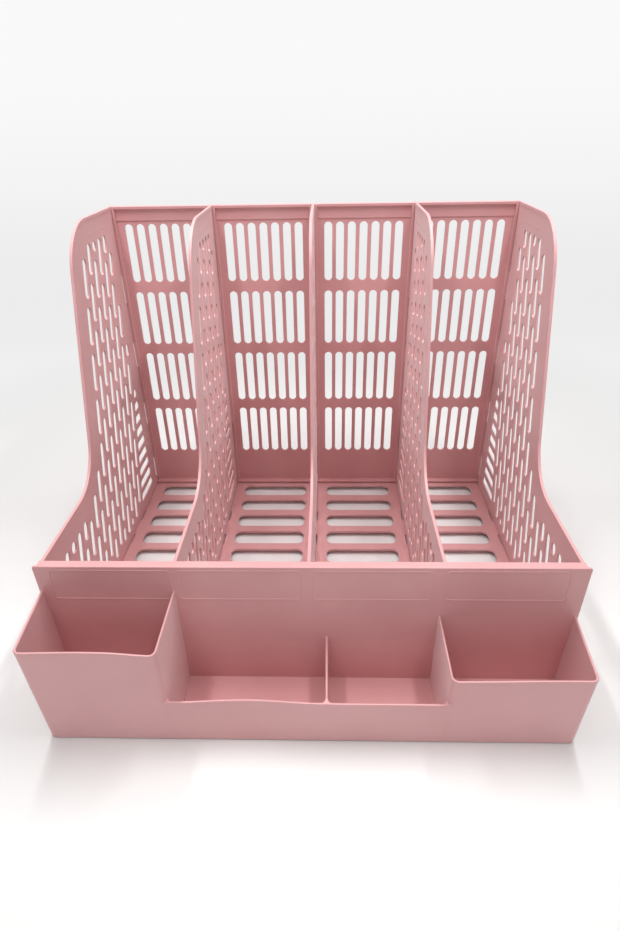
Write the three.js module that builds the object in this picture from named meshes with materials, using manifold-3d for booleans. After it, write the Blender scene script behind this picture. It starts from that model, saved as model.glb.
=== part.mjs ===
// A desk file organizer: four upright file sections that snap together from moulded panels,
// with a pen box that hangs on the front. Millimetres, x to the right, y to the back, z up.
import * as THREE from "three";
import { mergeVertices } from "three/addons/utils/BufferGeometryUtils.js";
import Module from "manifold-3d";

const wasm = await Module();
wasm.setup();

// The rack
const sections = 4;
const sectionPitch = 95.1; // from the middle of one wall to the middle of the next
const wall = 1.7; // thickness of a side panel or divider
const bead = 2.4; // thickness of the rim along a wall's free edge
const beadWidth = 3;
const fit = 0.3; // clearance between pieces that snap together
const rackDepth = 283.2; // length of a wall along the table
const rackHeight = 310.5; // height of the walls at the back

// Profile of a wall: tall at the back, low at the front
const lean = THREE.MathUtils.degToRad(16.7); // its upright front edge leans back
const lowHeight = 111.4; // height of its low front part
const lowLength = 112.3; // from the front to where the leaning edge would meet the low edge
const topRadius = 48; // round front corner at the top
const throatRadius = 45; // hollow corner between the low edge and the leaning edge
const footRadius = 3;

// Slots in a wall, in columns that lean with its front edge, each a step higher than the last
const slotMargin = 19; // solid border along the profile
const slotBackMargin = 27.5; // solid border along the back edge
const slotFoot = 15; // height of the lowest slot above the table
const slotWidth = 8.2;
const slotLength = 30.5;
const slotPitch = 37.3; // from one slot to the next in a column
const slotShortest = 7;
const columnPitch = 13.35;
const columnStart = 106.3; // first column behind the leaning edge, measured at the foot
const columnStep = 0.42; // how far each column climbs, in slot pitches
const columnPhase = 0.12;
const lastColumn = 7;

// Level slots in the back corner of a wall, which fill the wedge behind the leaning columns
const ventHeight = 8.6;
const ventPitch = 13.6;
const ventFoot = 18.7;
const ventBackMargin = 25.4;
const ventShortest = 7;

// Back panels: a plate with slots, a rim all round that points forward, and a band along the top
const plate = 2; // thickness of the flat panels
const backInset = 2.1; // the plate stands this far in from the walls' back edges
const backRim = 3.4; // how far the rim stands forward of the plate
const backRimWidth = 2.4;
const backFoot = 7.4;
const sillDepth = 6; // the rim is deeper along the bottom
const bandHeight = 13;
const bandRise = 0.8;
const gridRows = 4;
const gridColumns = 7;
const gridSlotWidth = 7.5;
const gridSlotHeight = 54;
const gridPitchX = 11.15;
const gridPitchZ = 64.1;
const gridTop = 16; // solid border above the highest row
const slotRounding = 0.32; // of a slot's width: how far its round ends reach in from the corners

// Base panels: a plate with wide slots across
const basePlate = 2.4;
const baseTop = 6.6; // height of the surface that the files stand on
const baseSlotDepth = 20;
const baseSlotPitch = 29.4;
const baseSlotBackMargin = 15.2; // from the walls' back edges
const baseSlotFrontMargin = 6; // least border at the panel's front
const baseSlotSideMargin = 10.8;
const baseSlotRadius = 6.5;
const reliefLength = 57; // narrow gap along a base panel's edge, on both sides of its tab
const reliefDepth = 1.1;

// Tabs on the panels' edges, and the windows in the walls that they snap into
const tabReach = 0.7; // how far a tab enters a wall
const backTabs = 4;
const backTabHeight = 24;
const backTabPitch = 68.4;
const backTabFoot = 29; // height of the lowest tab's middle
const backTabDepth = 2.6;
const backWindowLead = 2.2; // the window reaches this far in front of the rim
const baseTabLength = 25;
const baseTabMiddles = [72.7, 187.2]; // from the walls' front edges
const frontTabHeight = 18;
const frontTabMiddles = [30, 80];
const windowSlack = 1; // play round a tab in its window
const frontTabSetback = 0.6; // from the front rim's back edge

// Front panels, behind the pen box, as high as the walls' low edges
const frontRim = 4;
const frontRimWidth = 2.2;
const frontRimInset = 0.5; // of the rim from the plate's edges

// The pen box: one moulding, with a back plate that hooks over the front panels
const boxPlate = 1.8; // thickness of its back plate
const boxPlateGap = 0.5; // between the plate and the rack's front
const plateOverhang = 2.95; // the back plate reaches this far past the outer walls
const boxInset = 1.5; // the box's ends stand this far in from the plate's ends
const hookGap = 0.4; // between the hook and the walls' low edges
const hookDepth = 6.8; // the hook's top, front to back
const hookWall = 1.6;
const hookReach = 14; // how far the hook's back edge hangs down
const hookEnd = 3; // gap between that edge and each wall, and in from the plate's ends
const boxWall = 1.6;
const boxFloor = 1.6;
const boxDepth = 58; // at the top of the tall end
const boxDepthDraft = 4.5; // the front leans in this much towards the foot
const boxTaper = 5.2; // each end comes in this much from back to front
const boxEndDraft = 1.8; // each end leans in this much towards the foot
const boxCorner = 5;
const tallHeight = 91.5;
const shortHeight = 68.5;
const trayHeight = 42.3;
const tallWidth = 96.9; // from the left end to the tray
const shortWidth = 99.5; // from the right end to the tray
const penTrayWidth = 107.2; // left part of the tray
const crestRise = 4.8; // the tray's divider climbs this much towards the back

const arcSteps = 7;
const smallArcSteps = 3;
const cutMargin = 5; // how far a cutting solid reaches past what it cuts

const rackHalfWidth = (sections * sectionPitch) / 2;
const boxHeight = lowHeight + hookGap + hookWall;
const plateHalfWidth = rackHalfWidth + wall / 2 + plateOverhang;
const boxHalfWidth = plateHalfWidth - boxInset;
const rackFront = boxPlate + boxPlateGap;
const rackBack = rackFront + rackDepth;
const plateBack = rackBack - backInset;
const plateFront = plateBack - plate;
const rimFront = plateFront - backRim;
const leanSlope = Math.tan(lean);
const wallMiddles = Array.from({ length: sections + 1 }, (_, i) => i * sectionPitch - rackHalfWidth);

// A closed outline from corners { x, y, r }, with each corner rounded to its radius.
function rounded(corners, steps = arcSteps) {
  const points = [];
  corners.forEach((corner, i) => {
    const here = new THREE.Vector2(corner.x, corner.y);
    if (!corner.r) {
      points.push(here);
      return;
    }
    const before = corners[(i + corners.length - 1) % corners.length];
    const after = corners[(i + 1) % corners.length];
    const toBefore = new THREE.Vector2(before.x, before.y).sub(here).normalize();
    const toAfter = new THREE.Vector2(after.x, after.y).sub(here).normalize();
    const half = Math.acos(THREE.MathUtils.clamp(toBefore.dot(toAfter), -1, 1)) / 2;
    const middle = toBefore.clone().add(toAfter).normalize();
    const centre = here.clone().addScaledVector(middle, corner.r / Math.sin(half));
    const from = here.clone().addScaledVector(toBefore, corner.r / Math.tan(half)).sub(centre);
    const to = here.clone().addScaledVector(toAfter, corner.r / Math.tan(half)).sub(centre);
    let turn = to.angle() - from.angle();
    if (turn > Math.PI) turn -= 2 * Math.PI;
    if (turn < -Math.PI) turn += 2 * Math.PI;
    for (let k = 0; k <= steps; k += 1) {
      const angle = from.angle() + (turn * k) / steps;
      points.push(new THREE.Vector2(Math.cos(angle), Math.sin(angle)).multiplyScalar(corner.r).add(centre));
    }
  });
  return points;
}

function rectangle(x0, y0, x1, y1, r = 0, steps = smallArcSteps) {
  const corners = [
    { x: x0, y: y0, r },
    { x: x1, y: y0, r },
    { x: x1, y: y1, r },
    { x: x0, y: y1, r },
  ];
  return rounded(corners, steps);
}

// A slot with round ends, upright.
function uprightSlot(x, y0, y1, width) {
  return rectangle(x - width / 2, y0, x + width / 2, y1, width * slotRounding, 1);
}

function extruded(outline, holes, depth) {
  const shape = new THREE.Shape(outline);
  shape.holes = holes.map((hole) => new THREE.Path(hole));
  return new THREE.ExtrudeGeometry(shape, { depth, bevelEnabled: false });
}

// Outlines drawn in (y, z), made thick from x0 to x1.
function alongX(outline, x0, x1, holes = []) {
  const axes = new THREE.Matrix4().makeBasis(
    new THREE.Vector3(0, 1, 0),
    new THREE.Vector3(0, 0, 1),
    new THREE.Vector3(1, 0, 0),
  );
  return extruded(outline, holes, x1 - x0).applyMatrix4(axes).translate(x0, 0, 0);
}

// Outlines drawn in (x, z), made thick from y0 to y1.
function alongY(outline, y0, y1, holes = []) {
  const axes = new THREE.Matrix4().makeBasis(
    new THREE.Vector3(1, 0, 0),
    new THREE.Vector3(0, 0, 1),
    new THREE.Vector3(0, -1, 0),
  );
  return extruded(outline, holes, y1 - y0).applyMatrix4(axes).translate(0, y1, 0);
}

// Outlines drawn in (x, y), made thick from z0 to z1.
function alongZ(outline, z0, z1, holes = []) {
  return extruded(outline, holes, z1 - z0).translate(0, 0, z0);
}

function block(x0, x1, y0, y1, z0, z1) {
  return new THREE.BoxGeometry(x1 - x0, y1 - y0, z1 - z0)
    .translate((x0 + x1) / 2, (y0 + y1) / 2, (z0 + z1) / 2);
}

// A solid between a bottom outline and a top outline with as many points, both counterclockwise.
function loft(bottom, top, z0, z1) {
  const count = bottom.length;
  const positions = [];
  bottom.forEach((p) => positions.push(p.x, p.y, z0));
  top.forEach((p) => positions.push(p.x, p.y, z1));
  const faces = [];
  THREE.ShapeUtils.triangulateShape(bottom, []).forEach(([a, b, c]) => {
    faces.push(a, c, b);
    faces.push(a + count, b + count, c + count);
  });
  for (let i = 0; i < count; i += 1) {
    const j = (i + 1) % count;
    faces.push(i, j, j + count);
    faces.push(i, j + count, i + count);
  }
  const geometry = new THREE.BufferGeometry();
  geometry.setAttribute("position", new THREE.Float32BufferAttribute(positions, 3));
  geometry.setIndex(faces);
  return geometry;
}

function solid(geometry) {
  const bare = geometry.clone();
  bare.deleteAttribute("normal");
  bare.deleteAttribute("uv");
  const merged = mergeVertices(bare, 1e-4);
  return new wasm.Manifold(new wasm.Mesh({
    numProp: 3,
    vertProperties: new Float32Array(merged.attributes.position.array),
    triVerts: new Uint32Array(merged.index.array),
  }));
}

function joined(geometries) {
  return geometries.map(solid).reduce((all, one) => all.add(one));
}

function cut(body, geometries) {
  return geometries.map(solid).reduce((left, tool) => left.subtract(tool), body);
}

function geometryOf(body) {
  const mesh = body.getMesh();
  const geometry = new THREE.BufferGeometry();
  const positions = new Float32Array(mesh.vertProperties);
  geometry.setAttribute("position", new THREE.BufferAttribute(positions, 3));
  geometry.setIndex(new THREE.BufferAttribute(new Uint32Array(mesh.triVerts), 1));
  geometry.computeVertexNormals();
  return geometry;
}

// The profile of a wall in (y, z), drawn in by a margin along its free edge.
function wallProfile(margin, front, back, foot, footRounding = 0) {
  const low = lowHeight - margin;
  const high = rackHeight - margin;
  const edge = rackFront + lowLength - lowHeight * leanSlope + margin / Math.cos(lean);
  return rounded([
    { x: front, y: foot, r: footRounding },
    { x: back, y: foot, r: footRounding },
    { x: back, y: high },
    { x: edge + high * leanSlope, y: high, r: topRadius - margin },
    { x: edge + low * leanSlope, y: low, r: throatRadius + margin },
    { x: front, y: low },
  ]);
}

// The stretches of height where a leaning line, at y = start at the foot, lies inside an outline.
function stretchesInside(outline, start) {
  const heights = [];
  outline.forEach((a, i) => {
    const b = outline[(i + 1) % outline.length];
    const sideA = a.x - leanSlope * a.y - start;
    const sideB = b.x - leanSlope * b.y - start;
    if (sideA < 0 !== sideB < 0) heights.push(a.y + ((b.y - a.y) * sideA) / (sideA - sideB));
  });
  heights.sort((p, q) => p - q);
  const stretches = [];
  for (let i = 0; i + 1 < heights.length; i += 2) stretches.push([heights[i], heights[i + 1]]);
  return stretches;
}

function leaningSlot(start, z0, z1) {
  const across = new THREE.Vector2(Math.cos(lean), -Math.sin(lean)).multiplyScalar(slotWidth / 2);
  const foot = new THREE.Vector2(start + z0 * leanSlope, z0);
  const head = new THREE.Vector2(start + z1 * leanSlope, z1);
  return [
    foot.clone().sub(across),
    foot.clone().add(across),
    head.clone().add(across),
    head.clone().sub(across),
  ];
}

function wallSlots() {
  const field = wallProfile(slotMargin, rackFront + slotMargin, rackBack - slotBackMargin, slotFoot);
  const reach = Math.sin(lean) * (slotWidth / 2);
  const holes = [];
  const firstColumn = -Math.ceil((columnStart + rackHeight * leanSlope) / columnPitch);
  for (let column = firstColumn; column <= lastColumn; column += 1) {
    const start = rackFront + columnStart + column * columnPitch;
    for (const [low, high] of stretchesInside(field, start)) {
      const phase = columnPhase + column * columnStep;
      const first = Math.floor(low / slotPitch - phase) - 1;
      const last = Math.ceil(high / slotPitch - phase) + 1;
      for (let row = first; row <= last; row += 1) {
        const middle = (row + phase) * slotPitch;
        const z0 = Math.max(low + reach, middle - slotLength / 2);
        const z1 = Math.min(high - reach, middle + slotLength / 2);
        if (z1 - z0 >= slotShortest) holes.push(leaningSlot(start, z0, z1));
      }
    }
  }
  return holes;
}

function wallVents() {
  const back = rackBack - ventBackMargin;
  const edge = rackFront + columnStart + (lastColumn + 1) * columnPitch - slotWidth / 2;
  const holes = [];
  for (let z = ventFoot; ; z += ventPitch) {
    const left = edge + (z + ventHeight) * leanSlope;
    if (back - left < ventShortest) return holes;
    const lowLeft = edge + z * leanSlope;
    holes.push(rounded([
      { x: lowLeft, y: z },
      { x: back, y: z },
      { x: back, y: z + ventHeight },
      { x: left, y: z + ventHeight },
    ]));
  }
}

const backTabMiddles = Array.from({ length: backTabs }, (_, i) => backTabFoot + i * backTabPitch);
const frontRimBack = rackFront + plate + frontRim;

function wallWindows() {
  const half = windowSlack;
  const back = backTabMiddles.map((z) => rectangle(
    rimFront - backWindowLead,
    z - backTabHeight / 2 - half,
    rimFront + backTabDepth + half,
    z + backTabHeight / 2 + half,
  ));
  const base = baseTabMiddles.map((y) => rectangle(
    rackFront + y - baseTabLength / 2 - half,
    baseTop - basePlate - half,
    rackFront + y + baseTabLength / 2 + half,
    baseTop + fit,
  ));
  const front = frontTabMiddles.map((z) => rectangle(
    frontRimBack - plate - half,
    z - frontTabHeight / 2 - half,
    frontRimBack + half,
    z + frontTabHeight / 2 + half,
  ));
  return [...back, ...base, ...front];
}

function wallPanel(middle) {
  const left = middle - wall / 2;
  const right = middle + wall / 2;
  const holes = [...wallSlots(), ...wallVents(), ...wallWindows()];
  const cutters = holes.map((hole) => alongX(hole, left - cutMargin, right + cutMargin));
  const web = alongX(wallProfile(0, rackFront, rackBack, 0, footRadius), left, right);
  const edge = wallProfile(0, frontRimBack + fit, rimFront - fit, 0);
  const rim = alongX(edge, middle - bead / 2, middle + bead / 2);
  const inside = wallProfile(beadWidth, rackFront - cutMargin, rackBack + cutMargin, -cutMargin);
  const bare = cut(solid(rim), [alongX(inside, left - cutMargin, right + cutMargin)]);
  return geometryOf(cut(solid(web).add(bare), cutters));
}

// The faces of a section's two walls.
function sectionFaces(index) {
  return [wallMiddles[index] + wall / 2, wallMiddles[index + 1] - wall / 2];
}

function backPanel(index) {
  const [wallLeft, wallRight] = sectionFaces(index);
  const left = wallLeft + fit;
  const right = wallRight - fit;
  const middle = (left + right) / 2;
  const grid = [];
  for (let row = 0; row < gridRows; row += 1) {
    const top = rackHeight - gridTop - row * gridPitchZ;
    for (let column = 0; column < gridColumns; column += 1) {
      const x = middle + (column - (gridColumns - 1) / 2) * gridPitchX;
      grid.push(uprightSlot(x, top - gridSlotHeight, top, gridSlotWidth));
    }
  }
  const inside = rectangle(
    left + backRimWidth,
    backFoot + backRimWidth,
    right - backRimWidth,
    rackHeight - backRimWidth,
  );
  const outline = rectangle(left, backFoot, right, rackHeight);
  const pieces = [
    alongY(outline, plateFront, plateBack, grid),
    alongY(outline, rimFront, plateFront, [inside]),
    block(left, right, plateFront - sillDepth, rimFront, backFoot, backFoot + backRimWidth),
    block(
      left + backRimWidth / 2,
      right - backRimWidth / 2,
      plateFront - bandRise,
      plateFront + plate / 2,
      rackHeight - bandHeight,
      rackHeight - backRimWidth / 2,
    ),
  ];
  backTabMiddles.forEach((z) => {
    const foot = z - backTabHeight / 2;
    const head = z + backTabHeight / 2;
    const tabLeft = wallLeft - tabReach;
    const tabRight = wallRight + tabReach;
    pieces.push(block(tabLeft, left + backRimWidth / 2, rimFront, rimFront + backTabDepth, foot, head));
    pieces.push(block(right - backRimWidth / 2, tabRight, rimFront, rimFront + backTabDepth, foot, head));
  });
  return geometryOf(joined(pieces));
}

// A base panel's edge runs along a wall, with a shallow relief round each tab.
function basePanel(index) {
  const [wallLeft, wallRight] = sectionFaces(index);
  const left = wallLeft + fit;
  const right = wallRight - fit;
  const front = frontRimBack + fit;
  const back = plateBack;
  const slots = [];
  const firstFar = rackBack - baseSlotBackMargin;
  const nearest = front + baseSlotFrontMargin + baseSlotDepth;
  for (let far = firstFar; far >= nearest; far -= baseSlotPitch) {
    slots.push(rectangle(
      left + baseSlotSideMargin,
      far - baseSlotDepth,
      right - baseSlotSideMargin,
      far,
      baseSlotRadius,
      2,
    ));
  }
  const bottom = baseTop - basePlate;
  const panel = solid(alongZ(rectangle(left, front, right, back), bottom, baseTop, slots));
  const reliefs = [];
  const tabs = [];
  baseTabMiddles.forEach((middle) => {
    const y = rackFront + middle;
    const low = bottom - cutMargin;
    const high = baseTop + cutMargin;
    const [y0, y1] = [y - reliefLength / 2, y + reliefLength / 2];
    const [tab0, tab1] = [y - baseTabLength / 2, y + baseTabLength / 2];
    reliefs.push(block(left - cutMargin, left + reliefDepth, y0, y1, low, high));
    reliefs.push(block(right - reliefDepth, right + cutMargin, y0, y1, low, high));
    tabs.push(solid(block(wallLeft - tabReach, left + 2 * reliefDepth, tab0, tab1, bottom, baseTop)));
    tabs.push(solid(block(right - 2 * reliefDepth, wallRight + tabReach, tab0, tab1, bottom, baseTop)));
  });
  return geometryOf(tabs.reduce((all, tab) => all.add(tab), cut(panel, reliefs)));
}

function frontPanel(index) {
  const [wallLeft, wallRight] = sectionFaces(index);
  const left = wallLeft + fit;
  const right = wallRight - fit;
  const foot = backFoot;
  const plateRear = rackFront + plate;
  const rimTop = boxHeight - hookWall - hookReach - 2 * fit;
  const rimFoot = foot + frontRimInset;
  const rimLeft = left + frontRimInset;
  const rimRight = right - frontRimInset;
  const pieces = [
    block(left, right, rackFront, plateRear, foot, lowHeight),
    block(rimLeft, rimLeft + frontRimWidth, plateRear - plate / 2, frontRimBack, rimFoot, rimTop),
    block(rimRight - frontRimWidth, rimRight, plateRear - plate / 2, frontRimBack, rimFoot, rimTop),
  ];
  frontTabMiddles.forEach((z) => {
    const low = z - frontTabHeight / 2;
    const high = z + frontTabHeight / 2;
    const tabBack = frontRimBack - frontTabSetback;
    const tabFront = tabBack - plate;
    pieces.push(block(wallLeft - tabReach, rimLeft + frontRimWidth / 2, tabFront, tabBack, low, high));
    pieces.push(block(rimRight - frontRimWidth / 2, wallRight + tabReach, tabFront, tabBack, low, high));
  });
  return geometryOf(joined(pieces));
}

// The pen box's outer faces at a height: its ends lean out upwards and come in towards the front.
const endAt = (z) => boxHalfWidth - boxEndDraft * Math.max(0, 1 - z / tallHeight);
const frontAt = (z) => -(boxDepth - boxDepthDraft * (1 - z / tallHeight));
const taperSlope = boxTaper / boxDepth;
const boxEndX = (z, y) => endAt(z) + taperSlope * y;
const trayLeft = -boxHalfWidth + tallWidth;
const trayRight = boxHalfWidth - shortWidth;
const trayDivider = trayLeft + penTrayWidth + boxWall / 2;

// The plan of a stretch of the box at one height, between two upright limits or tapering ends.
function boxPlan(z, leftX, rightX, inset, back) {
  const front = frontAt(z) + inset;
  const leftEnd = leftX === null;
  const rightEnd = rightX === null;
  const endInset = inset / Math.cos(Math.atan(taperSlope));
  const leftBack = leftEnd ? -boxEndX(z, back) + endInset : leftX;
  const leftFront = leftEnd ? -boxEndX(z, front) + endInset : leftX;
  const rightFront = rightEnd ? boxEndX(z, front) - endInset : rightX;
  const rightBack = rightEnd ? boxEndX(z, back) - endInset : rightX;
  const corner = boxCorner - inset;
  return rounded([
    { x: leftBack, y: back },
    { x: leftFront, y: front, r: corner },
    { x: rightFront, y: front, r: corner },
    { x: rightBack, y: back },
  ], smallArcSteps);
}

function boxStretch(z0, z1, leftX, rightX, inset, back) {
  return loft(boxPlan(z0, leftX, rightX, inset, back), boxPlan(z1, leftX, rightX, inset, back), z0, z1);
}

function penBox() {
  const middleOfPlate = boxPlate / 2;
  const shell = joined([
    boxStretch(0, trayHeight, null, null, 0, middleOfPlate),
    boxStretch(trayHeight, tallHeight, null, trayLeft, 0, middleOfPlate),
    boxStretch(trayHeight, shortHeight, trayRight, null, 0, middleOfPlate),
  ]);
  const top = tallHeight + cutMargin;
  const hollows = [
    boxStretch(boxFloor, top, null, trayLeft - boxWall, boxWall, 0),
    boxStretch(boxFloor, top, trayLeft, trayDivider - boxWall / 2, boxWall, 0),
    boxStretch(boxFloor, top, trayDivider + boxWall / 2, trayRight, boxWall, 0),
    boxStretch(boxFloor, top, trayRight + boxWall, null, boxWall, 0),
  ];
  const footHalfWidth = plateHalfWidth - boxEndDraft;
  const backOutline = rounded([
    { x: -footHalfWidth, y: 0 },
    { x: footHalfWidth, y: 0 },
    { x: plateHalfWidth, y: boxHeight, r: boxPlate },
    { x: -plateHalfWidth, y: boxHeight, r: boxPlate },
  ], smallArcSteps);
  const crestFront = frontAt(trayHeight) + boxWall;
  const crestFoot = trayHeight - boxWall;
  const crest = [
    new THREE.Vector2(crestFront, crestFoot),
    new THREE.Vector2(middleOfPlate, crestFoot),
    new THREE.Vector2(middleOfPlate, trayHeight + crestRise),
    new THREE.Vector2(crestFront, trayHeight),
  ];
  const hookTop = boxHeight - hookWall;
  const hookHalfWidth = plateHalfWidth - hookEnd;
  const pieces = [
    alongY(backOutline, 0, boxPlate),
    alongX(crest, trayDivider - boxWall / 2, trayDivider + boxWall / 2),
    block(-hookHalfWidth, hookHalfWidth, middleOfPlate, hookDepth, hookTop, boxHeight),
  ];
  for (let i = 0; i < sections; i += 1) {
    const [left, right] = sectionFaces(i);
    const foot = hookTop - hookReach;
    pieces.push(block(left + hookEnd, right - hookEnd, hookDepth - hookWall, hookDepth, foot, boxHeight));
  }
  return geometryOf(cut(shell, hollows).add(joined(pieces)));
}

const pink = 0xcf9a9b;

function moulded(name, geometry) {
  const material = new THREE.MeshStandardMaterial({ color: pink, roughness: 0.45, metalness: 0 });
  const mesh = new THREE.Mesh(geometry, material);
  mesh.name = name;
  return mesh;
}

const organizer = new THREE.Group();
const wallNames = wallMiddles.map((_, i) => {
  if (i === 0) return "side_panel_left";
  return i === sections ? "side_panel_right" : `divider_${i}`;
});
wallMiddles.forEach((middle, i) => organizer.add(moulded(wallNames[i], wallPanel(middle))));
for (let i = 0; i < sections; i += 1) {
  organizer.add(moulded(`back_panel_${i + 1}`, backPanel(i)));
  organizer.add(moulded(`base_panel_${i + 1}`, basePanel(i)));
  organizer.add(moulded(`front_panel_${i + 1}`, frontPanel(i)));
}
organizer.add(moulded("pen_box", penBox()));

// The origin is on the table, in the middle of the footprint.
organizer.position.y = (boxDepth - rackBack) / 2;

export default organizer;
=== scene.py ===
# %% [markdown]
# # A desk file organizer in dusty pink polypropylene
# The object is a rack of four file sections, snapped together from flat moulded panels, with a pen
# box hooked over its front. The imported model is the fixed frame: every panel made here stands where
# its solid stands, and has the same sizes. This file adds what a mould leaves on the real panels:
# round slot ends, soft edges, rims, fine raised lines and a satin skin.

import math

import bmesh
import bpy
from mathutils import Matrix, Vector


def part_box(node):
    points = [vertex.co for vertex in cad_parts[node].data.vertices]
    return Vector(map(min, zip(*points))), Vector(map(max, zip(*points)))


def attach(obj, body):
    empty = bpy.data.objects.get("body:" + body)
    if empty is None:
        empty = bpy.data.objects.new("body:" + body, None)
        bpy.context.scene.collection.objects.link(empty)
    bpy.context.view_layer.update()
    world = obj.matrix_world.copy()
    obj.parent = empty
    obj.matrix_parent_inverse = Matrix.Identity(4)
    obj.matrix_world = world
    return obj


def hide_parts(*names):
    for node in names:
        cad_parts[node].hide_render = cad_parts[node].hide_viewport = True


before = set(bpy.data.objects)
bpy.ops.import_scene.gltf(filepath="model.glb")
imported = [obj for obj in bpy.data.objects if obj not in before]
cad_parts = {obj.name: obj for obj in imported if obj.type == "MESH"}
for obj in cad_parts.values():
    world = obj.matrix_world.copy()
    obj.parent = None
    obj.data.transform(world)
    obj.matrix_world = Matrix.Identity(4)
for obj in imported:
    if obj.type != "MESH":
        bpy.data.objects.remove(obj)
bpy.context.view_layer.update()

# %% [markdown]
# ## Units and places
# The panels are drawn in millimetres, like a mould maker's drawing, and turned to metres at the end.
# The places that everything else hangs on are read off the frame, so a rack of another size works too.

# %% Places taken from the frame
MM = 0.001
WALL_NAMES = ["side_panel_left", "divider_1", "divider_2", "divider_3", "side_panel_right"]


def box_mm(name):
    """The lowest and highest corner of a piece of the frame, in millimetres."""
    low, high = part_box(name)
    return low / MM, high / MM


def add_object(name, data):
    """A new object in the scene."""
    made = bpy.data.objects.new(name, data)
    bpy.context.scene.collection.objects.link(made)
    return made


wall_boxes = [box_mm(name) for name in WALL_NAMES]
wall_middles = [(low.x + high.x) / 2 for low, high in wall_boxes]
rack_front = wall_boxes[0][0].y
rack_back = wall_boxes[0][1].y
rack_height = wall_boxes[0][1].z
print("walls at x =", [round(x, 1) for x in wall_middles], "height", round(rack_height, 1))

# %% [markdown]
# ## Camera
# The photograph is taken from a little above and close by, so the walls spread apart in perspective.
# Its place and turn were solved from the rack's straight edges. The lens is given by its focal length
# in pixels of the 620 by 930 frame: Blender wants millimetres on a 36 mm wide sensor, which it lays
# along the longer side of the image.

# %% Camera
IMAGE_HEIGHT = 930
FOCAL_PIXELS = 588.475
SENSOR = 36.0
CAMERA_PLACE = (0.013723, -0.425463, 0.381395)
CAMERA_PITCH = math.radians(30.748)
CAMERA_YAW = math.radians(1.908)
CAMERA_ROLL = math.radians(-1.059)
CAMERA_SHIFT = (-0.0015, -0.0003)
CLIP_START = 0.01


def make_camera():
    data = bpy.data.cameras.new("camera")
    data.sensor_width = SENSOR
    data.lens = SENSOR * FOCAL_PIXELS / IMAGE_HEIGHT
    data.shift_x, data.shift_y = CAMERA_SHIFT
    data.clip_start = CLIP_START
    camera = add_object("camera", data)
    yaw = Matrix.Rotation(CAMERA_YAW, 4, "Z")
    pitch = Matrix.Rotation(math.pi / 2 - CAMERA_PITCH, 4, "X")
    roll = Matrix.Rotation(CAMERA_ROLL, 4, "Z")
    camera.matrix_world = Matrix.Translation(CAMERA_PLACE) @ yaw @ pitch @ roll
    bpy.context.scene.camera = camera
    return camera


camera = make_camera()
print("camera: lens", round(camera.data.lens, 2), "mm")

# %% [markdown]
# ## Colours and nodes
# Colours are written as sRGB hex values, the way they look on a screen, and one function turns them
# into the linear numbers that the renderer adds up. One small function adds a node with its settings
# and its links, for materials and for Geometry Nodes alike, and another adds a Math node.

# %% Colour and node helpers


def linear(hex_colour):
    """A linear RGBA colour from an sRGB hex value."""
    channels = [int(hex_colour[i:i + 2], 16) / 255 for i in (1, 3, 5)]
    return [c / 12.92 if c <= 0.04045 else ((c + 0.055) / 1.055) ** 2.4 for c in channels] + [1.0]


def node(tree, kind, inputs=None, **settings):
    """Adds a node. Each input is a value, or the socket that is linked to it."""
    made = tree.nodes.new(kind)
    for name, value in settings.items():
        setattr(made, name, value)
    for name, value in (inputs or {}).items():
        if isinstance(value, bpy.types.NodeSocket):
            tree.links.new(value, made.inputs[name])
        else:
            made.inputs[name].default_value = value
    return made


def maths(tree, operation, *values, **settings):
    """The outcome of a Math node."""
    made = node(tree, "ShaderNodeMath", dict(enumerate(values)), operation=operation, **settings)
    return made.outputs["Value"]


# %% [markdown]
# ## Floor and light
# The photograph looks like one taken in a light tent: white cloth all round, and a row of small lamps
# along each side of its top. The two rows throw the clear shadows on the trays' floors, one from each
# side, and light the inner faces of the walls. The cloth fills the rest, so the shade inside the
# sections is pink walls that light each other.
#
# The sheet below is paper that bends up behind the object. It bounces light like real paper, but
# away from the object the camera and mirror rays see it nearly white, because a real tent is
# overexposed there. The fold behind the object gets less light, and that shade is painted into what
# those rays see as a little grey.

# %% Floor and backdrop
FLOOR_DROP = 0.0002
FLOOR_HALF_WIDTH = 3.0
FLOOR_FRONT = -2.0
SWEEP_START = 0.75
SWEEP_RADIUS = 0.8
SWEEP_TOP = 3.0
SWEEP_STEPS = 16
PAPER = "#E6E5E4"
GLOW_NEAR = 0.36  # metres from the object's middle
GLOW_FAR = 0.8
TENT_WHITE = "#F9F9F9"
# painted shade: the grey that the camera and mirror rays see where the sheet folds up
FOLD_PAINTED_SHADE = "#ECECEC"
FOLD_MIDDLE = 0.95  # metres along the sheet, backwards and upwards together
FOLD_REACH = 1.1


def seen_directly(tree):
    """1 for the rays that see (of the camera, a mirror or glass), 0 for those that only carry light."""
    ray = node(tree, "ShaderNodeLightPath").outputs
    seen = maths(tree, "ADD", ray["Is Camera Ray"], ray["Is Glossy Ray"])
    return maths(tree, "ADD", seen, ray["Is Transmission Ray"], use_clamp=True)


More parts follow.
